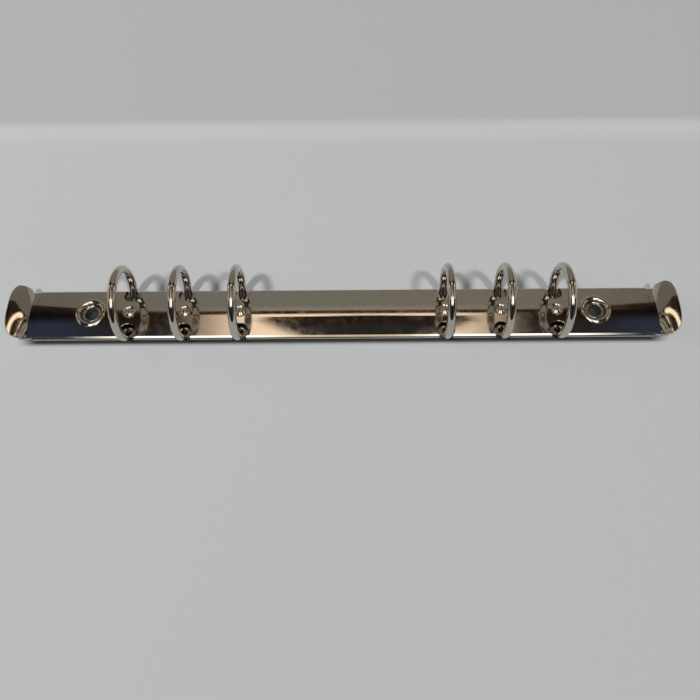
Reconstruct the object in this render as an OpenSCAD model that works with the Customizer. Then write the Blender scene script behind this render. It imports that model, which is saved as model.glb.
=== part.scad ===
// Six-ring binder mechanism for punched personal organiser sheets.
// X runs along the mechanism, -Y is the front, +Z is up, and z = 0 is the board it is mounted on.

/* [Cover plate] */
// Length of the cover plate
plate_len = 210.6; // [190:0.2:240]
// Width over the curled long edges
plate_w = 19; // [17:0.1:24]
// Height of the arch above the board
plate_h = 4; // [3.7:0.1:6]
// Thickness of the spring steel sheet
sheet_t = 0.6; // [0.4:0.05:0.7]
// Outside radius of the curled long edges
curl_r = 1.45; // [1.35:0.05:1.6]
// How far each lip turns in past the centre of its curl
lip_in = 0.35; // [0.1:0.05:0.5]

/* [Rings] */
// Distance between neighbouring rings of a group of three
ring_pitch = 19; // [15:0.5:22]
// Distance between the two middle rings
ring_gap = 70; // [50:1:80]
// Inside diameter of a closed ring
ring_inner_d = 19.8; // [16:0.2:30]
// Diameter of the ring wire
wire_d = 2.75; // [2:0.05:3]
// Distance of the foot's centre inboard of the hinge line
foot_in = 0.3; // [0.1:0.05:0.8]
// Diameter of the tenon that rivets a foot to its rail
tenon_d = 1.6; // [1:0.1:2]
// Distance from the foot's centre in to the tenon
tenon_in = 1; // [0.7:0.05:1.2]
// Diameter of the peened head of the tenon
head_d = 2.1; // [1.8:0.1:2.4]
// Height of the peened head
head_h = 0.35; // [0.2:0.05:0.4]
// Height of the teeth where two ring halves meet
tip_tooth = 0.45; // [0.2:0.05:0.7]

/* [Ring openings] */
// Room on each side of the wire where it crosses the curled edge
opening_side = 0.95; // [0.6:0.05:1.2]
// Radius of the round inner end of an opening
opening_r = 3; // [2.6:0.1:3.4]
// Distance of that round end's centre inboard of the hinge line
opening_in = 0.85; // [0.5:0.05:1.2]
// Height of the strip of curl that is left below an opening
opening_z = 1.2; // [0.9:0.05:1.25]

/* [Dimples] */
// Radius of the dome in the middle of a dimple
dome_r = 1.9; // [1.5:0.1:2.2]
// Height of the dome above the plate
dome_h = 0.4; // [0.2:0.05:0.6]
// Radius of the groove pressed round the dome
groove_r = 0.35; // [0.25:0.05:0.4]

/* [Eyelets] */
// Distance between the two mounting eyelets
eyelet_gap = 172.5; // [166:0.5:180]
// Bore of an eyelet
eyelet_bore = 4.7; // [3.5:0.1:5]
// Wall thickness of an eyelet
eyelet_wall = 0.3; // [0.2:0.05:0.4]
// Thickness of the rolled rim of an eyelet
rim_t = 0.7; // [0.5:0.05:0.8]
// Height of the sunk seat above the board
seat_z = 2.25; // [1.9:0.05:2.4]
// Width of the flat floor of the seat outside the eyelet
seat_floor = 0.4; // [0.3:0.05:0.6]
// Radius between the floor of the seat and its wall
seat_r = 0.4; // [0.3:0.05:0.5]
// Radius of the raised ridge round the seat
ridge_r = 0.95; // [0.9:0.05:1.1]
// Distance of the ridge's centre from the axis of the eyelet
ridge_at = 4.5; // [4.4:0.1:5]
// Height of the ridge above the arch of the plate
ridge_h = 0.25; // [0.1:0.05:0.4]

/* [Rails] */
// Distance that the rails stop short of each end of the plate
rail_inset = 2.5; // [1:0.1:5]
// Thickness of a hinge rail
rail_t = 0.65; // [0.5:0.05:0.7]
// Tilt of the rails below level when the rings are closed
closed_tilt = 3; // [2:0.25:3.5]
// Radius of the notches that pass the eyelets
notch_r = 4.7; // [4.6:0.1:5.2]
// Distance of the two locating tabs from the middle
tab_at = 22; // [10:1:30]
// Width of a locating tab
tab_w = 6; // [3:0.5:10]
// How far a locating tab reaches past the meeting line
tab_reach = 0.7; // [0.3:0.1:1]

/* [Levers] */
// Thickness of the lever sheet
lever_t = 0.6; // [0.4:0.05:0.7]
// Distance of the lever's hinge line in from the plate's end
pivot_in = 0.7; // [0.6:0.05:0.9]
// Diameter of the two lugs that rock in the curled edges
lug_d = 1; // [0.8:0.05:1.1]
// Length of the thumb tab along its slope
thumb_len = 7.4; // [5:0.1:12]
// Slope of the thumb tab above level
thumb_slope = 48; // [30:1:60]
// Half width of the thumb tab
thumb_half_w = 9.8; // [7:0.1:12]
// Half width of the neck that joins the thumb tab to the saddle
neck_half_w = 5.6; // [4:0.1:7]
// Depth of the shoulders outside the neck below the arch
shoulder_drop = 0.35; // [0.1:0.05:0.5]
// Rise of the tab's middle above its sides
thumb_crown = 1.2; // [0.6:0.1:2]
// Reach of the ears beyond the plate's end
ear_reach = 4.7; // [3:0.1:6]
// Height of an ear above the board beside the plate
ear_z = 0.5; // [0.4:0.05:0.8]
// Height of an ear above the board at its outer end
ear_out_z = 1.55; // [1.5:0.05:2]
// Length of the tongue under the rails, inboard of the hinge line
tongue_len = 5; // [4:0.1:5.5]
// Half width of the tongue
tongue_half_w = 1.2; // [0.8:0.1:1.6]
// Thickness of the tongue
tongue_t = 0.45; // [0.3:0.05:0.5]

/* [Fits] */
// Gap between the tips of two closed ring halves
tip_gap = 0.06; // [0.04:0.01:0.2]
// Gap between a rail and the inside of the curl
groove_gap = 0.25; // [0.15:0.05:0.3]
// Gap between the two rails when they are level
rail_gap = 0.12; // [0.08:0.02:0.3]
// Gap round a tenon in its rail
tenon_gap = 0.03; // [0.01:0.01:0.05]
// Gap round an eyelet in the plate
eyelet_gap_r = 0.05; // [0.02:0.01:0.1]
// Gap round a locating tab
tab_gap = 0.2; // [0.1:0.05:0.4]
// Gap between the plate's end and the saddle of a lever
end_gap = 0.12; // [0.08:0.02:0.4]
// Gap between a lug and the end wall of its groove
lug_gap = 0.25; // [0.1:0.05:0.3]
// Gap between the tongue and the closed rails
tongue_gap = 0.12; // [0.08:0.02:0.2]

/* [Hidden] */
RING_NAMES = ["1", "2", "3", "4", "5", "6"];
$fn = 96;
far = 40;

// The rings from left to right: two groups of three about the middle.
ring_x = [for (side = [-1, 1], k = side < 0 ? [2, 1, 0] : [0, 1, 2]) side * (ring_gap / 2 + k * ring_pitch)];

// Arch of the plate: its arc is tangent to both curls, outside and inside.
pivot_y = plate_w / 2 - curl_r;
pivot_z = curl_r;
arch_r = (pow(pivot_y, 2) + pow(plate_h - curl_r, 2) - pow(curl_r, 2)) / (2 * (plate_h - 2 * curl_r));
arch_z = plate_h - arch_r;
arch_half_angle = atan2(pivot_y, pivot_z - arch_z);
// Dip of the arch below the tangent line, so that the two arcs cross cleanly.
seam_dip = 0.002;
slot_half_w = pivot_y - lip_in;

// Rings: the foot stands on the closed rail, and the ring's centre follows from its radius.
wire_r = wire_d / 2;
ring_r = ring_inner_d / 2 + wire_r;
foot_y = pivot_y - foot_in;
foot_z = pivot_z + rail_t / 2 - foot_in * sin(closed_tilt);
ring_z = foot_z + sqrt(pow(ring_r, 2) - pow(foot_y, 2));
foot_angle = asin((ring_z - foot_z) / ring_r) + 20;

// Eyelets and their seats.
eyelet_x = eyelet_gap / 2;
eyelet_r = eyelet_bore / 2 + eyelet_wall;
seat_bore_r = eyelet_r + eyelet_gap_r;

// Rails.
rail_len = plate_len - 2 * rail_inset;
rail_out = curl_r - sheet_t - groove_gap - rail_t / 2;
rail_half_w = pivot_y - rail_gap / 2;

// Levers.
plate_end = plate_len / 2;
lever_x = plate_end - pivot_in;
wall_x = plate_end + 1.5;
lug_end = plate_w / 2 - sheet_t - lug_gap;
web_half_w = pivot_y - curl_r / 2;
shoulder_in = neck_half_w + 0.15;
tongue_z = pivot_z - rail_half_w * sin(closed_tilt) - rail_t / 2 - tongue_gap - tongue_t;

// Points along an arc of the given centre and radius.
function arc(y, z, r, from, to, n = 8) =
    [for (i = [0:n]) [y + r * cos(from + (to - from) * i / n), z + r * sin(from + (to - from) * i / n)]];

function reversed(list) = [for (i = [len(list) - 1:-1:0]) list[i]];

// Stands an outline drawn in Y and Z upright and runs it along X.
module along_x(from, to) {
    translate([from, 0, 0]) rotate([90, 0, 90]) linear_extrude(to - from) children();
}

// Frame of a rail or a ring foot: the origin is on the front hinge line, +Y along the closed rail.
module front_hinge_frame() {
    translate([0, -pivot_y, pivot_z]) rotate([-closed_tilt, 0, 0]) children();
}

// ---- Cover plate ----

module wedge(y, z, from, to, reach) {
    translate([y, z]) polygon([[0, 0], for (i = [0:6]) reach * [
        cos(from + (to - from) * i / 6),
        sin(from + (to - from) * i / 6)
    ]]);
}

// Filled outline of the arch and its two curls, moved inwards by the inset.
module half_profile(inset) {
    r = curl_r - inset;
    intersection() {
        translate([0, arch_z]) circle(arch_r - inset - seam_dip);
        wedge(0, arch_z, 90 - arch_half_angle - 0.5, 90, arch_r * 1.1);
        translate([0, inset]) square(far);
    }
    translate([pivot_y, pivot_z]) circle(r);
    translate([0, inset]) square([pivot_y, r]);
}

module profile(inset) {
    half_profile(inset);
    mirror([1, 0]) half_profile(inset);
}

// Outline of the opening that lets a ring leg through the arch and the curl.
module ring_opening() {
    side = wire_r + opening_side;
    translate([0, -pivot_y + opening_in, opening_z]) {
        cylinder(h = plate_h, r = opening_r);
        translate([-side, -curl_r - opening_in - 1, 0]) cube([2 * side, curl_r + opening_in + 1, plate_h]);
    }
}

// Pressed dimple: a dome inside a groove, both of sheet thickness.
groove_z = plate_h + 0.05;
dome_z = plate_h + dome_h - dome_r;
groove_at = sqrt(pow(dome_r + groove_r, 2) - pow(groove_z - dome_z, 2));
dome_edge = atan2(groove_z - dome_z, groove_at);
roll_drop = asin((groove_z - plate_h + groove_r) / (2 * groove_r));
dimple_r = groove_at + 2 * groove_r * cos(roll_drop);

module dimple() {
    rotate_extrude() polygon(concat(
        [[0, dome_z + dome_r - sheet_t], [0, dome_z + dome_r]],
        arc(0, dome_z, dome_r, 87, dome_edge, 10),
        arc(groove_at, groove_z, groove_r, 180 + dome_edge, 360 - roll_drop, 10),
        arc(dimple_r, plate_h - groove_r, groove_r, 180 - roll_drop, 90, 5),
        [[dimple_r, plate_h - sheet_t - 0.05]],
        arc(groove_at, groove_z, groove_r + sheet_t, 290, 180 + dome_edge, 6),
        arc(0, dome_z, dome_r - sheet_t, dome_edge, 87, 6)
    ));
}

// Sunk seat of an eyelet inside a raised ridge; the wall between is tangent to both radii.
seat_at = seat_bore_r + seat_floor;
ridge_z = plate_h + ridge_h - ridge_r;
seat_arc_z = seat_z + seat_r;
ridge_dir = atan2(ridge_z - seat_arc_z, ridge_at - seat_at);
ridge_dist = norm([ridge_at - seat_at, ridge_z - seat_arc_z]);
ridge_end = 8;
seat_turn = ridge_dir - acos((seat_r + ridge_r) / ridge_dist);

module eyelet_seat() {
    rotate_extrude() polygon(concat(
        [[seat_bore_r, seat_z - sheet_t], [seat_bore_r, seat_z]],
        arc(seat_at, seat_arc_z, seat_r, -90, seat_turn),
        arc(ridge_at, ridge_z, ridge_r, 180 + seat_turn, ridge_end, 14),
        arc(ridge_at, ridge_z, ridge_r - sheet_t, ridge_end, 180 + seat_turn, 10),
        arc(seat_at, seat_arc_z, seat_r + sheet_t, seat_turn, -90)
    ));
}

module cover_plate() {
    color("silver") {
        difference() {
            along_x(-plate_end, plate_end) difference() {
                profile(0);
                profile(sheet_t);
                translate([-slot_half_w, -1]) square([2 * slot_half_w, 1 + curl_r]);
            }
            for (x = ring_x) translate([x, 0, 0]) {
                ring_opening();
                mirror([0, 1, 0]) ring_opening();
                cylinder(h = far, r = dimple_r);
            }
            for (side = [-1, 1]) translate([side * eyelet_x, 0, 0])
                cylinder(h = far, r = ridge_at + ridge_r - sheet_t / 2);
        }
        for (x = ring_x) translate([x, 0, 0]) dimple();
        for (side = [-1, 1]) translate([side * eyelet_x, 0, 0]) eyelet_seat();
    }
}

// ---- Eyelets ----

module eyelet() {
    rim_r = rim_t / 2;
    rotate_extrude() {
        translate([eyelet_bore / 2, 0]) square([eyelet_wall, seat_z + rim_r]);
        translate([eyelet_bore / 2 + rim_r, seat_z + rim_r]) circle(rim_r);
    }
}

// ---- Rails ----

// One blade with its outer edge rounded to rock in the curl; the front one carries the tabs.
module rail(tabs) {
    front_hinge_frame() difference() {
        union() {
            translate([-rail_len / 2, -rail_out, -rail_t / 2]) cube([rail_len, rail_half_w + rail_out, rail_t]);
            translate([-rail_len / 2, -rail_out, 0]) rotate([0, 90, 0]) cylinder(h = rail_len, d = rail_t);
            if (tabs) for (side = [-1, 1])
                translate([side * tab_at - tab_w / 2, rail_half_w - 1, -rail_t / 2])
                    cube([tab_w, 1 + tab_reach, rail_t]);
        }
        for (x = ring_x) translate([x, foot_in + tenon_in, -far / 2])
            cylinder(h = far, r = tenon_d / 2 + tenon_gap);
        for (side = [-1, 1]) translate([side * eyelet_x, pivot_y, -far / 2])
            cylinder(h = far, r = notch_r);
        if (!tabs) for (side = [-1, 1])
            translate([side * tab_at - tab_w / 2 - tab_gap, rail_half_w - tab_reach - tab_gap, -far / 2])
                cube([tab_w + 2 * tab_gap, far, far]);
    }
}

// ---- Ring halves ----

// Everything beyond the toothed meeting line, seen from above; it reads the same turned half round.
module beyond_tip() {
    translate([0, -tip_gap / 2, ring_z + ring_r / 2]) linear_extrude(far) polygon([
        [-far, 0], [-wire_r, 0], [-wire_r / 2, tip_tooth], [wire_r / 2, -tip_tooth], [wire_r, 0],
        [far, 0], [far, far], [-far, far]
    ]);
}

// The front half of a ring: the bent wire, its foot cut flat on the rail, and the riveted tenon.
module ring_half() {
    difference() {
        translate([0, 0, ring_z]) rotate([90, 0, -90]) rotate([0, 0, -foot_angle])
            rotate_extrude(angle = foot_angle + 100) translate([ring_r, 0]) circle(wire_r);
        beyond_tip();
        front_hinge_frame() translate([-far / 2, -far / 2, rail_t / 2 - far]) cube(far);
    }
    front_hinge_frame() translate([0, foot_in + tenon_in, 0]) {
        translate([0, 0, -rail_t / 2 - 0.05]) cylinder(h = rail_t + 0.1, d = tenon_d);
        translate([0, 0, -rail_t / 2 - head_h]) cylinder(h = head_h, d1 = head_d * 0.7, d2 = head_d);
    }
}

module front_ring_half(i) {
    color("gainsboro") translate([ring_x[i], 0, 0]) ring_half();
}

module rear_ring_half(i) {
    color("lightgray") translate([ring_x[i], 0, 0]) rotate([0, 0, 180]) ring_half();
}

// ---- Levers ----

// Filled outline of the saddle: flush with the arch over the neck, then dropped shoulders over the
// curls, with sides that go straight down.
module saddle(inset) {
    side = pivot_y + curl_r - shoulder_drop - inset;
    profile(inset + shoulder_drop);
    translate([-side, 0]) square([2 * side, pivot_z]);
    intersection() {
        profile(inset);
        translate([inset - neck_half_w, 0]) square([2 * (neck_half_w - inset), far]);
    }
}

// Side view of what the saddle and the ears fill: the inner edge leans, and the ears clear the board.
module saddle_side() {
    translate([0, plate_w, 0]) rotate([90, 0, 0]) linear_extrude(2 * plate_w) polygon([
        [plate_end + end_gap, plate_h + 1],
        [plate_end + end_gap, pivot_z * 1.5],
        [plate_end + 0.9, ear_z],
        [plate_end + ear_reach, ear_out_z],
        [plate_end + ear_reach, plate_h + 1]
    ]);
}

// Plan of the tab on its slope: a neck, two slanted corners, flared sides and a full rounded end.
function thumb_outline() = let (n = 2.7, flare = 2.1, neck = neck_half_w - 0.2, corner = thumb_half_w - 0.4)
    concat(
        [[-far / 20, -neck], [-0.6, -neck], [0.4, -corner], [flare, -thumb_half_w]],
        [for (a = [-80:8:80]) let (c = cos(a), s = sin(a)) [
            flare + (thumb_len - flare) * pow(c, 2 / n),
            thumb_half_w * sign(s) * pow(abs(s), 2 / n)
        ]],
        [[flare, thumb_half_w], [0.4, corner], [-0.6, neck], [-far / 20, neck]]
    );

thumb_r = (pow(thumb_half_w, 2) + pow(thumb_crown, 2)) / (2 * thumb_crown);

// The tab starts on the saddle over the wall and slopes up and out.
module thumb_tab() {
    intersection() {
        translate([wall_x + lever_t / 2, 0, plate_h]) rotate([0, -thumb_slope, 0]) intersection() {
            translate([0, 0, -far / 4]) linear_extrude(far / 2) polygon(thumb_outline());
            translate([-far / 2, 0, -thumb_r]) rotate([0, 90, 0]) difference() {
                cylinder(h = far, r = thumb_r, $fn = 180);
                translate([0, 0, -1]) cylinder(h = far + 2, r = thumb_r - lever_t, $fn = 180);
            }
        }
        translate([wall_x, -far / 2, pivot_z]) cube(far);
    }
}

module lever() {
    // saddle over the plate's end with an ear on each side
    intersection() {
        difference() {
            along_x(plate_end, plate_end + ear_reach) saddle(0);
            along_x(plate_end - 1, wall_x) saddle(lever_t);
            along_x(wall_x + lever_t, plate_end + ear_reach + 1) {
                saddle(lever_t);
                translate([-shoulder_in, 0]) square([2 * shoulder_in, far]);
            }
            translate([wall_x - 1, -pivot_y, -1]) cube([far, 2 * pivot_y, 1 + pivot_z - lever_t / 2]);
        }
        saddle_side();
    }
    thumb_tab();
    // web through the plate's open end, with the lugs on the hinge line
    translate([lever_x - lug_d / 2, -web_half_w, pivot_z - lever_t / 2])
        cube([wall_x + lever_t - lever_x + lug_d / 2, 2 * web_half_w, lever_t]);
    translate([lever_x, -lug_end, pivot_z]) rotate([-90, 0, 0]) cylinder(h = 2 * lug_end, d = lug_d);
    // riser and tongue under the rails
    translate([lever_x - lug_d / 2 - lever_t, -2 * tongue_half_w, tongue_z])
        cube([lug_d / 2 + lever_t, 4 * tongue_half_w, pivot_z + lever_t / 2 - tongue_z]);
    translate([lever_x - tongue_len + tongue_half_w, 0, tongue_z]) {
        cylinder(h = tongue_t, r = tongue_half_w);
        translate([0, -tongue_half_w, 0]) cube([tongue_len - tongue_half_w - lug_d / 2, 2 * tongue_half_w, tongue_t]);
    }
}

module left_eyelet() {
    color("lightsteelblue") translate([-eyelet_x, 0, 0]) eyelet();
}

module right_eyelet() {
    color("lightsteelblue") translate([eyelet_x, 0, 0]) eyelet();
}

module front_rail() {
    color("darkgray") rail(true);
}

module rear_rail() {
    color("gray") mirror([0, 1, 0]) rail(false);
}

module left_lever() {
    color("whitesmoke") mirror([1, 0, 0]) lever();
}

module right_lever() {
    color("whitesmoke") lever();
}

cover_plate();
left_eyelet();
right_eyelet();
front_rail();
rear_rail();
for (i = [0:5]) {
    front_ring_half(i);
    rear_ring_half(i);
}
left_lever();
right_lever();
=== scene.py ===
# %% [markdown]
# # A ring binder mechanism in bright nickel
# The real object is a long strip of spring steel, rolled into a low arch with curled edges. Two
# flat rails lie inside the curls and carry six pairs of wire ring halves, and a small lever at each
# end snaps the rails open and shut. All of it is nickel plated, so the look lives in reflections.
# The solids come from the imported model. Every piece here is a smooth copy of its solid, because a
# mirror shows each small facet, and the copies get their plating from procedural materials.

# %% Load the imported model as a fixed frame
import math
from functools import partial

import bmesh
import bpy
from mathutils import Matrix, Vector


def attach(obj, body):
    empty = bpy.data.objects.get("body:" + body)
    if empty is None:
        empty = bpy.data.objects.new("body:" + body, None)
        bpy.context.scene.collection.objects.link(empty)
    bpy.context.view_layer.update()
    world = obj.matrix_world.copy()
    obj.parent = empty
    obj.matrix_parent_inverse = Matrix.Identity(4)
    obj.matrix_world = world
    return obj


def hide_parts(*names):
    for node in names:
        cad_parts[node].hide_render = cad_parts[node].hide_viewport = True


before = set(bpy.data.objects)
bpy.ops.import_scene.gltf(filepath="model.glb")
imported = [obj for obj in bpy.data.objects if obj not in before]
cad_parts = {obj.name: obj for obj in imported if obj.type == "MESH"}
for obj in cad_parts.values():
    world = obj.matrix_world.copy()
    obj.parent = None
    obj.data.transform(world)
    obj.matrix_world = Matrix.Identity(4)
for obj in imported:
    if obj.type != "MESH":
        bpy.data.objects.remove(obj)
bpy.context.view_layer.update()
MM = 0.001

# %% [markdown]
# ## The camera
# The mechanism lies on a table and is looked at from above, about 61 degrees over the horizon, by a
# phone held a little to the right of its middle. A phone's wide lens from close by makes the near
# sides of the rings lean outwards, so the lens and the distance matter as much as the angle. The
# place and the three turns were first solved from the ring spacing, then adjusted until the
# outlines agreed, and are typed in as they are.

# %% Camera
PICTURE_PX = 700
FOCAL_PX = 657.85
SENSOR_MM = 36.0
CAMERA_PLACE = (3.771 * MM, -110.212 * MM, 200.286 * MM)
CAMERA_LOOKS_DOWN = 64.13
CAMERA_SWING = 0.774
CAMERA_ROLL = -1.085

camera_data = bpy.data.cameras.new("camera")
camera_data.sensor_width = SENSOR_MM
camera_data.lens = FOCAL_PX / PICTURE_PX * SENSOR_MM
camera_data.clip_start = 0.01
camera = bpy.data.objects.new("camera", camera_data)
bpy.context.scene.collection.objects.link(camera)
camera.matrix_world = (
    Matrix.Translation(CAMERA_PLACE)
    @ Matrix.Rotation(math.radians(CAMERA_SWING), 4, "Z")
    @ Matrix.Rotation(math.radians(90 - CAMERA_LOOKS_DOWN), 4, "X")
    @ Matrix.Rotation(math.radians(CAMERA_ROLL), 4, "Z")
)
bpy.context.scene.camera = camera
print("lens in mm:", round(camera_data.lens, 2))

# %% [markdown]
# ## Smooth copies of the solids
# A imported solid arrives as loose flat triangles, and flat triangles break a reflection into
# splinters. Each piece is therefore a copy: its doubled corners are merged, its faces shade
# smoothly, and only the real edges, where two faces meet at a clear angle, stay sharp.

# %% A helper that makes a smooth copy
SHARP_ANGLE = math.radians(26)
SAME_PLACE = 2e-7


def smooth_copy(node, name):
    bm = bmesh.new()
    bm.from_mesh(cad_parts[node].data)
    bmesh.ops.remove_doubles(bm, verts=bm.verts, dist=SAME_PLACE)
    bmesh.ops.dissolve_degenerate(bm, edges=bm.edges, dist=SAME_PLACE)
    for face in bm.faces:
        face.smooth = True
    for edge in bm.edges:
        edge.smooth = edge.is_manifold and edge.calc_face_angle(0) < SHARP_ANGLE
    mesh = bpy.data.meshes.new(name)
    bm.to_mesh(mesh)
    bm.free()
    piece = bpy.data.objects.new(name, mesh)
    bpy.context.scene.collection.objects.link(piece)
    return piece


def dress(piece, node, body, material):
    piece.data.materials.clear()
    piece.data.materials.append(material)
    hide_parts(node)
    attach(piece, body)
    return piece


# %% [markdown]
# ## Sums with nodes
# A procedural material is a chain of small sums. These helpers add one node each: a sum, a soft
# step from one value to another, and a mix of two colours. Tied to one node tree they read almost
# like plain arithmetic.

# %% Helpers for groups and sums
def new_group(name, inputs, outputs):
    group = bpy.data.node_groups.new(name, "ShaderNodeTree")
    for label, kind, value in inputs:
        socket = group.interface.new_socket(label, in_out="INPUT", socket_type=kind)
        socket.default_value = value
    for label, kind in outputs:
        group.interface.new_socket(label, in_out="OUTPUT", socket_type=kind)
    return group, group.nodes.new("NodeGroupInput"), group.nodes.new("NodeGroupOutput")


def math_node(nodes, links, operation, first, second=0.0, third=None):
    node = nodes.new("ShaderNodeMath")
    node.operation = operation
    for socket, value in zip(node.inputs, (first, second, third)):
        if value is None:
            continue
        if isinstance(value, (int, float)):
            socket.default_value = value
        else:
            links.new(value, socket)
    return node.outputs["Value"]


def ramp(nodes, links, value, low, high, start=0.0, end=1.0, curve="SMOOTHSTEP"):
    node = nodes.new("ShaderNodeMapRange")
    node.interpolation_type = curve
    for label, amount in zip(("From Min", "From Max", "To Min", "To Max"), (low, high, start, end)):
        node.inputs[label].default_value = amount
    links.new(value, node.inputs["Value"])
    return node.outputs["Result"]


def mix_color(nodes, links, factor, first, second):
    node = nodes.new("ShaderNodeMix")
    node.data_type = "RGBA"
    for label, value in (("A", first), ("B", second)):
        if isinstance(value, tuple):
            node.inputs[label].default_value = value
        else:
            links.new(value, node.inputs[label])
    links.new(factor, node.inputs["Factor"])
    return node.outputs["Result"]


def tied(nodes, links):
    return tuple(partial(helper, nodes, links) for helper in (math_node, ramp, mix_color))


print("helpers ready: sum, soft step, mix")

# %% [markdown]
# ## Pressed forms that are only shading
# Reflections suggest that the real plate rolls over its front edge in a flatter fold than the
# solid's round curl, and that the thumb tabs are slightly crowned lengthwise. That is a guess from
# reflections, and neither form is in the solids or in the meshes. Here they are only a turn of the
# normals, so they change what the metal reflects and never its outline. The curve lists, in
# degrees, how far a spot leans forward and how far it is shaded as leaning.

# %% The fold along the front edge
FOLD_CURVE = ((0, 0), (14, 14), (24, 27), (58, 35), (72, 60), (90, 90), (180, 180))


def fold_forward(nodes, links, normal, strength):
    calc, _, _ = tied(nodes, links)
    split = nodes.new("ShaderNodeSeparateXYZ")
    links.new(normal, split.inputs["Vector"])
    x, y, z = (split.outputs[axis] for axis in "XYZ")
    tilt = calc("ARCTAN2", calc("MULTIPLY", y, -1.0), z)
    forward = calc("DIVIDE", calc("MAXIMUM", tilt, 0.0), math.pi)
    curve = nodes.new("ShaderNodeFloatCurve")
    points = curve.mapping.curves[0].points
    for at, value in FOLD_CURVE[1:-1]:
        points.new(at / 180, value / 180)
    for point in points:
        point.handle_type = "VECTOR"
    curve.mapping.update()
    links.new(forward, curve.inputs["Value"])
    turn_by = calc("SUBTRACT", curve.outputs["Value"], forward)
    turn_by = calc("MULTIPLY", turn_by, calc("MULTIPLY", strength, math.pi))
    tilt = calc("ADD", tilt, turn_by)
    reach = calc("SQRT", calc("SUBTRACT", 1.0, calc("MULTIPLY", x, x)))
    join = nodes.new("ShaderNodeCombineXYZ")
    links.new(x, join.inputs["X"])
    down = calc("MULTIPLY", calc("SINE", tilt), -1.0)
    links.new(calc("MULTIPLY", down, reach), join.inputs["Y"])
    links.new(calc("MULTIPLY", calc("COSINE", tilt), reach), join.inputs["Z"])
    return join.outputs["Vector"]


print("largest turn at the fold in degrees:", max(abs(a - b) for a, b in FOLD_CURVE))

# %% The crown of the thumb tabs
THUMB_SLOPE = math.radians(48)
THUMB_MIDDLE_X, THUMB_MIDDLE_Z = 109.44 * MM, 6.6 * MM
THUMB_DOME = 0.04 / MM
TAB_BEGINS = (106.9 * MM, 107.3 * MM)
TAB_FOOT = (3.0 * MM, 3.6 * MM)


def dome_thumb(nodes, links, normal, place, strength):
    calc, fade, _ = tied(nodes, links)
    split = nodes.new("ShaderNodeSeparateXYZ")
    links.new(place, split.inputs["Vector"])
    aside = calc("ABSOLUTE", split.outputs["X"])
    out = calc("SUBTRACT", aside, THUMB_MIDDLE_X)
    up = calc("SUBTRACT", split.outputs["Z"], THUMB_MIDDLE_Z)
    along = calc("MULTIPLY_ADD", out, math.cos(THUMB_SLOPE), calc("MULTIPLY", up, math.sin(THUMB_SLOPE)))
    on_tab = calc("MULTIPLY", fade(aside, *TAB_BEGINS), fade(split.outputs["Z"], *TAB_FOOT))
    lean = calc("MULTIPLY", calc("MULTIPLY", along, THUMB_DOME), on_tab)
    lean = calc("MULTIPLY", lean, strength)
    outward = calc("MULTIPLY", calc("SIGN", split.outputs["X"]), lean)
    join = nodes.new("ShaderNodeCombineXYZ")
    links.new(calc("MULTIPLY", outward, math.cos(THUMB_SLOPE)), join.inputs["X"])
    links.new(calc("MULTIPLY", lean, math.sin(THUMB_SLOPE)), join.inputs["Z"])
    add = nodes.new("ShaderNodeVectorMath")
    add.operation = "ADD"
    links.new(normal, add.inputs[0])
    links.new(join.outputs["Vector"], add.inputs[1])
    unit = nodes.new("ShaderNodeVectorMath")
    unit.operation = "NORMALIZE"
    links.new(add.outputs["Vector"], unit.inputs[0])
    return unit.outputs["Vector"]


print("tab slope in degrees:", round(math.degrees(THUMB_SLOPE)))

# %% One group for both pressed forms
def pressed_group():
    group, given, made = new_group(
        "pressed_shape",
        [("Front Fold", "NodeSocketFloat", 0.0), ("Thumb Dome", "NodeSocketFloat", 0.0)],
        [("Normal", "NodeSocketVector")],
    )
    nodes, links = group.nodes, group.links
    where = nodes.new("ShaderNodeTexCoord")
    normal = fold_forward(nodes, links, where.outputs["Normal"], given.outputs["Front Fold"])
    normal = dome_thumb(nodes, links, normal, where.outputs["Object"], given.outputs["Thumb Dome"])
    to_world = nodes.new("ShaderNodeVectorTransform")
    to_world.vector_type = "NORMAL"
    to_world.convert_from = "OBJECT"
    to_world.convert_to = "WORLD"
    links.new(normal, to_world.inputs["Vector"])
    links.new(to_world.outputs["Vector"], made.inputs["Normal"])
    return group


PRESSED = pressed_group()
print("pressed forms:", len(PRESSED.nodes), "nodes")

# %% [markdown]
# ## The nickel plating
# Bright nickel is a slightly warm, slightly dark mirror. It is never perfect: rolling and forming
# leave long shallow waves, handling leaves a faint haze, and the plating is a touch darker where
# it is thin. One node group gives these effects as a normal, a roughness and a colour, and each
# part's own material says how strong they are.

# %% A node group for the plating's small faults
WAVE_STRETCH = (0.35, 1.0, 1.0)
WAVE_DETAIL = 1.5
HAZE_SCALE = 420
HAZE_DETAIL = 4


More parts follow.
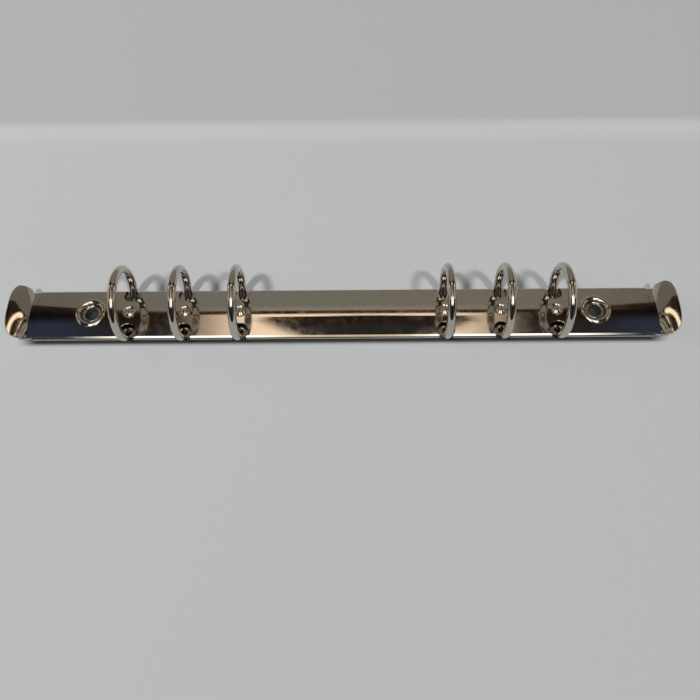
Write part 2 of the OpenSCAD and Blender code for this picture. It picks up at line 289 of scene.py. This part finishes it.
def plating_group():
    group, given, made = new_group(
        "nickel_plating",
        [
            ("Color", "NodeSocketColor", (0.6, 0.56, 0.5, 1)),
            ("Wave Scale", "NodeSocketFloat", 60),
            ("Wave Height", "NodeSocketFloat", 0.00001),
            ("Haze", "NodeSocketFloat", 0.05),
            ("Normal", "NodeSocketVector", (0, 0, 1)),
        ],
        [("Color", "NodeSocketColor"), ("Roughness", "NodeSocketFloat"), ("Normal", "NodeSocketVector")],
    )
    nodes, links = group.nodes, group.links
    calc, fade, _ = tied(nodes, links)
    where = nodes.new("ShaderNodeTexCoord")
    stretch = nodes.new("ShaderNodeMapping")
    stretch.inputs["Scale"].default_value = WAVE_STRETCH
    links.new(where.outputs["Object"], stretch.inputs["Vector"])

    waves = nodes.new("ShaderNodeTexNoise")
    waves.inputs["Detail"].default_value = WAVE_DETAIL
    links.new(stretch.outputs["Vector"], waves.inputs["Vector"])
    links.new(given.outputs["Wave Scale"], waves.inputs["Scale"])
    bump = nodes.new("ShaderNodeBump")
    bump.inputs["Strength"].default_value = 1.0
    links.new(given.outputs["Wave Height"], bump.inputs["Distance"])
    links.new(waves.outputs["Fac"], bump.inputs["Height"])
    links.new(given.outputs["Normal"], bump.inputs["Normal"])
    links.new(bump.outputs["Normal"], made.inputs["Normal"])

    haze = nodes.new("ShaderNodeTexNoise")
    haze.inputs["Scale"].default_value = HAZE_SCALE
    haze.inputs["Detail"].default_value = HAZE_DETAIL
    links.new(where.outputs["Object"], haze.inputs["Vector"])
    spread = fade(haze.outputs["Fac"], 0.35, 0.75, 0.6, 1.5, curve="LINEAR")
    links.new(calc("MULTIPLY", spread, given.outputs["Haze"]), made.inputs["Roughness"])

    thin = fade(haze.outputs["Fac"], 0.3, 0.7, 0.94, 1.03, curve="LINEAR")
    tint = nodes.new("ShaderNodeMix")
    tint.data_type = "RGBA"
    tint.blend_type = "MULTIPLY"
    tint.inputs["Factor"].default_value = 1.0
    links.new(given.outputs["Color"], tint.inputs["A"])
    links.new(thin, tint.inputs["B"])
    links.new(tint.outputs["Result"], made.inputs["Color"])
    return group


PLATING = plating_group()
print("plating:", len(PLATING.nodes), "nodes")

# %% A nickel material that uses both groups
def nickel(name, color, wave_scale, wave_height, haze, front_fold=0.0, thumb_dome=0.0):
    material = bpy.data.materials.new(name)
    material.use_nodes = True
    nodes, links = material.node_tree.nodes, material.node_tree.links
    shader = nodes["Principled BSDF"]
    shader.inputs["Metallic"].default_value = 1.0
    faults = nodes.new("ShaderNodeGroup")
    faults.node_tree = PLATING
    faults.inputs["Color"].default_value = (*color, 1)
    faults.inputs["Wave Scale"].default_value = wave_scale
    faults.inputs["Wave Height"].default_value = wave_height
    faults.inputs["Haze"].default_value = haze
    pressed = nodes.new("ShaderNodeGroup")
    pressed.node_tree = PRESSED
    pressed.inputs["Front Fold"].default_value = front_fold
    pressed.inputs["Thumb Dome"].default_value = thumb_dome
    links.new(pressed.outputs["Normal"], faults.inputs["Normal"])
    links.new(faults.outputs["Color"], shader.inputs["Base Color"])
    links.new(faults.outputs["Roughness"], shader.inputs["Roughness"])
    links.new(faults.outputs["Normal"], shader.inputs["Normal"])
    return material


# %% [markdown]
# ## One finish for each kind of part
# The rolled cover has the longest waves, the drawn wire of the rings is the brightest, and the
# rails inside were plated before assembly and rub on each other, so they are satin.

# %% The five finishes
plate_finish = nickel("plate_nickel", (0.60, 0.555, 0.49), 45, 0.000004, 0.09, front_fold=1.0)
ring_finish = nickel("ring_nickel", (0.58, 0.54, 0.48), 120, 0.000004, 0.07)
lever_finish = nickel("lever_nickel", (0.60, 0.555, 0.49), 90, 0.00001, 0.08, thumb_dome=1.0)
eyelet_finish = nickel("eyelet_nickel", (0.58, 0.54, 0.47), 200, 0.000004, 0.1)
rail_finish = nickel("rail_steel", (0.50, 0.46, 0.40), 80, 0.00001, 0.28)
finishes = (plate_finish, ring_finish, lever_finish, eyelet_finish, rail_finish)
print("finishes:", [finish.name for finish in finishes])

# %% [markdown]
# ## The pieces
# Each piece stands for one solid and rides on the body that carries it, so it follows when the
# rails swing open.

# %% Housing: the cover plate and its two eyelets
plate = dress(smooth_copy("cover_plate", "plate"), "cover_plate", "housing", plate_finish)
for side in ("left", "right"):
    piece = smooth_copy(f"{side}_eyelet", f"{side}_eyelet_tube")
    dress(piece, f"{side}_eyelet", "housing", eyelet_finish)

# %% Jaws: a rail and six ring halves on each side
for side in ("front", "rear"):
    piece = smooth_copy(f"{side}_rail", f"{side}_rail_strip")
    dress(piece, f"{side}_rail", f"{side}_jaw", rail_finish)
    for number in range(1, 7):
        node = f"{side}_ring_half_{number}"
        dress(smooth_copy(node, f"{side}_wire_{number}"), node, f"{side}_jaw", ring_finish)

# %% Levers
for side in ("left", "right"):
    piece = smooth_copy(f"{side}_lever", f"{side}_thumb_lever")
    dress(piece, f"{side}_lever", f"{side}_lever", lever_finish)

# %% [markdown]
# ## The table and the backdrop
# A pale paper floor carries the soft shadows. Behind the mechanism the paper ends at a wall that
# takes less light than the floor. A real wall there would hide the object from behind, so its shade
# is painted in the floor's own material: a soft step in Y to a greyer tone, with a painted highlight
# along the edge, where the paper catches light.

# %% The paper, with painted wall shade and a painted highlight at its end
PAPER_END_Y = 0.089
PAPER_COLOR = (0.66, 0.67, 0.67, 1)
# painted shade: the greyer tone beyond the paper's end stands for the less lit wall behind
PAINTED_WALL_SHADE = (0.58, 0.59, 0.60, 1)
# painted highlight: the lighter line along the paper's end, where it catches light
PAINTED_EDGE_HIGHLIGHT = (0.72, 0.72, 0.71, 1)


# the paper's tone, with the painted highlight at its end and the painted wall shade beyond it
def paper_tone(kit, y):
    _, fade, mix = kit
    rise = fade(y, PAPER_END_Y - 0.012, PAPER_END_Y - 0.004)
    fall = fade(y, PAPER_END_Y - 0.002, PAPER_END_Y + 0.004)
    return mix(fall, mix(rise, PAPER_COLOR, PAINTED_EDGE_HIGHLIGHT), PAINTED_WALL_SHADE)


print("the paper ends at Y in mm:", round(PAPER_END_Y / MM))

# %% [markdown]
# ## Shade painted on the paper
# This is paint, not light: a dark spot under each eyelet and a dark line in front of the plate.
# It imitates the shade of narrow gaps, fits the closed mechanism only, and stays put when the parts
# move. The floor is therefore not quite plain. To have it plain, leave out the call of
# painted_shade in paper_finish.

# %% Painted shade
EYELET_X = 86.25 * MM
EYELET_SHADE = (0.030, 0.022, 0.016, 1)
SPOT_RIM = (2.8 * MM, 2.4 * MM)
CONTACT_SHADE = (0.05, 0.055, 0.06, 1)
CONTACT_Y = (-12.0 * MM, -9.6 * MM)
CONTACT_BACK_Y = (6 * MM, 2 * MM)
CONTACT_ENDS_X = (112 * MM, 104 * MM)


def painted_shade(kit, tone, x, y):
    calc, fade, mix = kit
    aside = calc("ABSOLUTE", x)
    from_eyelet = calc("SUBTRACT", aside, EYELET_X)
    square = calc("ADD", calc("MULTIPLY", from_eyelet, from_eyelet), calc("MULTIPLY", y, y))
    tone = mix(fade(calc("SQRT", square), *SPOT_RIM), tone, EYELET_SHADE)
    in_front = calc("POWER", fade(y, *CONTACT_Y), 2.0)
    inside = calc("MULTIPLY", fade(aside, *CONTACT_ENDS_X), fade(y, *CONTACT_BACK_Y))
    return mix(calc("MULTIPLY", in_front, inside), tone, CONTACT_SHADE)


print("painted spots at X in mm: +-", round(EYELET_X / MM, 2))

# %% Floor
FLOOR_HALF = 2.0


def paper_finish():
    material = bpy.data.materials.new("paper")
    material.use_nodes = True
    nodes, links = material.node_tree.nodes, material.node_tree.links
    kit = tied(nodes, links)
    shader = nodes["Principled BSDF"]
    shader.inputs["Roughness"].default_value = 0.9
    shader.inputs["Specular IOR Level"].default_value = 0.2
    where = nodes.new("ShaderNodeTexCoord")
    split = nodes.new("ShaderNodeSeparateXYZ")
    links.new(where.outputs["Object"], split.inputs["Vector"])
    tone = paper_tone(kit, split.outputs["Y"])
    tone = painted_shade(kit, tone, split.outputs["X"], split.outputs["Y"])
    links.new(tone, shader.inputs["Base Color"])
    return material


bm = bmesh.new()
bmesh.ops.create_grid(bm, x_segments=1, y_segments=1, size=FLOOR_HALF)
floor_mesh = bpy.data.meshes.new("floor")
bm.to_mesh(floor_mesh)
bm.free()
floor = bpy.data.objects.new("floor", floor_mesh)
floor.data.materials.append(paper_finish())
bpy.context.scene.collection.objects.link(floor)
print("floor half width in m:", FLOOR_HALF)

# %% [markdown]
# ## The light
# Two far lamps at the front left and the front right throw the soft-edged shadows of the rings,
# and a wide soft box at the left lifts the paper. None of them shows in the metal: the bright
# lines there come from the card further down. A weak even sky fills the rest.

# %% Lamps
LAMP_ANGLE = 6.0  # degrees across, so a ring throws a soft-edged arc


def hang_lamp(name, data, place):
    lamp = bpy.data.objects.new(name, data)
    bpy.context.scene.collection.objects.link(lamp)
    lamp.location = place
    lamp.rotation_euler = (-Vector(place)).to_track_quat("-Z", "Y").to_euler()
    lamp.visible_glossy = False


def soft_box(name, place, size, power, color):
    data = bpy.data.lights.new(name, "AREA")
    data.shape = "RECTANGLE"
    data.size, data.size_y = size
    data.energy = power
    data.color = color
    hang_lamp(name, data, place)


def far_lamp(name, place, strength, color):
    data = bpy.data.lights.new(name, "SUN")
    data.energy = strength
    data.angle = math.radians(LAMP_ANGLE)
    data.color = color
    hang_lamp(name, data, place)


far_lamp("left_lamp", (-0.088, -0.086, 0.215), 1.25, (0.97, 0.99, 1.0))
far_lamp("right_lamp", (0.125, -0.129, 0.280), 0.92, (1.0, 0.99, 0.97))
soft_box("paper_lift", (-0.60, 0.10, 0.50), (0.6, 0.6), 0.8, (0.97, 0.985, 1.0))

print("lamps:", len(bpy.data.lights))

# %% [markdown]
# ## The sky and the pale wall
# The sky that lights the scene is weak. Seen directly, in metal or through glass, the same world
# shows a pale wall instead, so low views have a pale background without a stronger sky.

# %% World
SKY = 0.09
SKY_COLOR = (1.0, 0.97, 0.93, 1)
PALE_WALL = (0.36, 0.36, 0.35, 1)

world = bpy.data.worlds.new("room")
bpy.context.scene.world = world
world.use_nodes = True
world_nodes, world_links = world.node_tree.nodes, world.node_tree.links
soft_sky = world_nodes["Background"]
soft_sky.inputs["Color"].default_value = SKY_COLOR
soft_sky.inputs["Strength"].default_value = SKY
pale_wall = world_nodes.new("ShaderNodeBackground")
pale_wall.inputs["Color"].default_value = PALE_WALL
path = world_nodes.new("ShaderNodeLightPath")
calc, _, _ = tied(world_nodes, world_links)
seen = calc("ADD", path.outputs["Is Glossy Ray"], path.outputs["Is Transmission Ray"])
seen = calc("MINIMUM", calc("ADD", path.outputs["Is Camera Ray"], seen), 1.0)
both = world_nodes.new("ShaderNodeMixShader")
world_links.new(seen, both.inputs["Fac"])
world_links.new(soft_sky.outputs["Background"], both.inputs[1])
world_links.new(pale_wall.outputs["Background"], both.inputs[2])
world_links.new(both.outputs["Shader"], world_nodes["World Output"].inputs["Surface"])
bpy.context.scene.view_settings.view_transform = "Standard"
print("sky strength:", SKY)

# %% [markdown]
# ## What the metal sees
# Polished metal shows its surroundings, so a photographer hangs dark and bright cards round it.
# Here that is one arched card over the mechanism, from behind it, overhead, and down in front. It
# is seen in reflections alone, so it neither shades the paper nor hides the object from any side.
# Its tone depends on two things: the turn, in degrees round the X axis from behind, and how far
# aside of the middle a spot is, in metres. The tones were fitted for the view of the camera above.

# %% The card's dark tones
SMOKE, BLACK = (0.030, 0.020, 0.013, 1), (0.007, 0.006, 0.006, 1)
DEEP_BLUE = (0.036, 0.050, 0.088, 1)
RUST, BROWN = (0.08, 0.05, 0.03, 1), (0.022, 0.014, 0.009, 1)
GREY = (0.030, 0.030, 0.032, 1)
SLATE, PALE_SLATE = (0.040, 0.055, 0.085, 1), (0.12, 0.15, 0.18, 1)
SOOT = (0.016, 0.013, 0.010, 1)


def dark_tones(kit, turn, aside):
    _, fade, mix = kit
    middle = fade(aside, 0.42, 0.33)
    ends = mix(fade(turn, 66, 82), mix(fade(turn, 52, 64), SMOKE, BLACK), DEEP_BLUE)
    brown = mix(fade(turn, 72, 88), mix(fade(turn, 60, 65), RUST, BROWN), GREY)
    behind = mix(middle, ends, brown)
    in_front = mix(middle, mix(fade(turn, 125, 175), SLATE, PALE_SLATE), SOOT)
    return mix(fade(turn, 84, 125), behind, in_front)


print("dark tones:", len({SMOKE, BLACK, DEEP_BLUE, RUST, BROWN, GREY, SLATE, PALE_SLATE, SOOT}))

# %% The warm panel with a lens-shaped hole
WARM = (1.55, 1.25, 0.95, 1)
HOLE_MIDDLE_X, HOLE_HALF_LEN = 0.023, 0.156
HOLE_ROUNDNESS = 1.6
HOLE_TOP, HOLE_TOP_DROP = 68.2, 5.0
HOLE_BOTTOM, HOLE_BOTTOM_RISE = 117.0, -50.0


def warm_panel(kit, tone, turn, aside, x):
    calc, fade, mix = kit
    along = calc("DIVIDE", calc("SUBTRACT", x, HOLE_MIDDLE_X), HOLE_HALF_LEN)
    along = calc("POWER", calc("ABSOLUTE", along), HOLE_ROUNDNESS)
    top = calc("MULTIPLY_ADD", along, HOLE_TOP_DROP, HOLE_TOP)
    bottom = calc("MULTIPLY_ADD", along, HOLE_BOTTOM_RISE, HOLE_BOTTOM)
    below_top = fade(calc("SUBTRACT", turn, top), -0.8, 1.0)
    above_bottom = fade(calc("SUBTRACT", bottom, turn), -12, 4)
    hole = calc("MULTIPLY", below_top, above_bottom)
    panel = calc("MULTIPLY", fade(turn, 138, 118), fade(aside, 0.26, 0.12))
    panel = calc("MULTIPLY", fade(turn, 65.4, 66.4), panel)
    panel = calc("MULTIPLY", panel, calc("SUBTRACT", 1.0, hole))
    return mix(panel, tone, WARM)


print("hole length in m:", 2 * HOLE_HALF_LEN)

# %% The bright bar overhead and the brown ends
BAR_MIDDLE, BAR_ENDS = (0.95, 0.80, 0.62, 1), (2.6, 2.65, 2.6, 1)
BROWN_END = (0.034, 0.022, 0.014, 1)


def bright_bar(kit, tone, turn, aside):
    calc, fade, mix = kit
    bar = calc("MULTIPLY", fade(turn, 103, 112), fade(turn, 135, 127))
    bar = calc("MULTIPLY", bar, fade(aside, 0.40, 0.30))
    tone = mix(bar, tone, mix(fade(aside, 0.05, 0.16), BAR_MIDDLE, BAR_ENDS))
    return mix(fade(aside, 0.55, 0.75), tone, BROWN_END)


print("brightest tone of the bar:", max(BAR_ENDS))

# %% The cream loops that show in the thumb tabs
CREAM = (1.75, 1.45, 1.05, 1)
LOOP_ASIDE, LOOP_HALF_LEN = 1.27, 0.37
LOOP_TURN, LOOP_HALF_TURN = 76.0, 32.0


def cream_loops(kit, tone, turn, aside):
    calc, fade, mix = kit
    across = calc("DIVIDE", calc("SUBTRACT", aside, LOOP_ASIDE), LOOP_HALF_LEN)
    around = calc("DIVIDE", calc("SUBTRACT", turn, LOOP_TURN), LOOP_HALF_TURN)
    square = calc("ADD", calc("MULTIPLY", across, across), calc("MULTIPLY", around, around))
    off = calc("ABSOLUTE", calc("SUBTRACT", calc("SQRT", square), 1.0))
    width = fade(aside, 0.9, 1.5, 0.32, 0.14)
    return mix(fade(calc("DIVIDE", off, width), 1.0, 0.6), tone, CREAM)


print("loop middle in m aside:", LOOP_ASIDE)

# %% The wall behind, below the card's dark tones
WALL_MIDDLE, WALL_ENDS = (0.25, 0.24, 0.215, 1), (0.19, 0.175, 0.15, 1)
WALL_LIT = (0.40, 0.34, 0.30, 1)


def rear_wall(kit, tone, turn, aside):
    calc, fade, mix = kit
    wall = mix(fade(aside, 0.2, 0.5), WALL_MIDDLE, WALL_ENDS)
    wall = mix(calc("MULTIPLY", fade(turn, 51, 60), fade(aside, 0.3, 0.1)), wall, WALL_LIT)
    edge_turn = calc("SUBTRACT", fade(aside, 0.24, 0.62, 60.4, 40.0), fade(aside, 0.70, 1.40, 0.0, 9.0))
    return mix(fade(calc("SUBTRACT", turn, edge_turn), -0.6, 0.9), wall, tone)


print("wall tone:", WALL_MIDDLE[:3])

# %% The card's material
def card_finish():
    material = bpy.data.materials.new("arched_card")
    material.use_nodes = True
    nodes, links = material.node_tree.nodes, material.node_tree.links
    nodes.clear()
    kit = tied(nodes, links)
    calc = kit[0]
    where = nodes.new("ShaderNodeTexCoord")
    split = nodes.new("ShaderNodeSeparateXYZ")
    links.new(where.outputs["Object"], split.inputs["Vector"])
    x, y, z = (split.outputs[axis] for axis in "XYZ")
    turn = calc("MULTIPLY", calc("ARCTAN2", z, y), 180 / math.pi)
    aside = calc("ABSOLUTE", x)
    tone = dark_tones(kit, turn, aside)
    tone = warm_panel(kit, tone, turn, aside, x)
    tone = bright_bar(kit, tone, turn, aside)
    tone = cream_loops(kit, tone, turn, aside)
    tone = rear_wall(kit, tone, turn, aside)
    glow = nodes.new("ShaderNodeEmission")
    links.new(tone, glow.inputs["Color"])
    out = nodes.new("ShaderNodeOutputMaterial")
    links.new(glow.outputs["Emission"], out.inputs["Surface"])
    material.cycles.emission_sampling = "NONE"
    return material


CARD_MATERIAL = card_finish()
print("card material:", len(CARD_MATERIAL.node_tree.nodes), "nodes")

# %% [markdown]
# ## Bending the card
# A card is a straight line swept round the X axis. The spin tool does that sweep, in enough strips
# that none of them shows as a kink in the metal.

# %% The arched card
CARD_R = 0.7
CARD_HALF_LEN = 2.0
CARD_FROM, CARD_TO = 8, 178
CARD_STRIPS = 48

bm = bmesh.new()
first = bm.verts.new((-CARD_HALF_LEN, CARD_R, 0))
last = bm.verts.new((CARD_HALF_LEN, CARD_R, 0))
edge = bm.edges.new((first, last))
bmesh.ops.rotate(
    bm, cent=(0, 0, 0), matrix=Matrix.Rotation(math.radians(CARD_FROM), 3, "X"), verts=bm.verts
)
bmesh.ops.spin(
    bm,
    geom=[first, last, edge],
    cent=(0, 0, 0),
    axis=(1, 0, 0),
    angle=math.radians(CARD_TO - CARD_FROM),
    steps=CARD_STRIPS,
    use_merge=False,
    use_normal_flip=False,
    use_duplicate=False,
)
card_mesh = bpy.data.meshes.new("arched_card")
bm.to_mesh(card_mesh)
bm.free()
card = bpy.data.objects.new("arched_card", card_mesh)
card.data.materials.append(CARD_MATERIAL)
bpy.context.scene.collection.objects.link(card)
card.visible_camera = False
card.visible_diffuse = False
card.visible_shadow = False
card.visible_transmission = False
card.visible_volume_scatter = False
print("card spans", len(card_mesh.polygons), "strips")
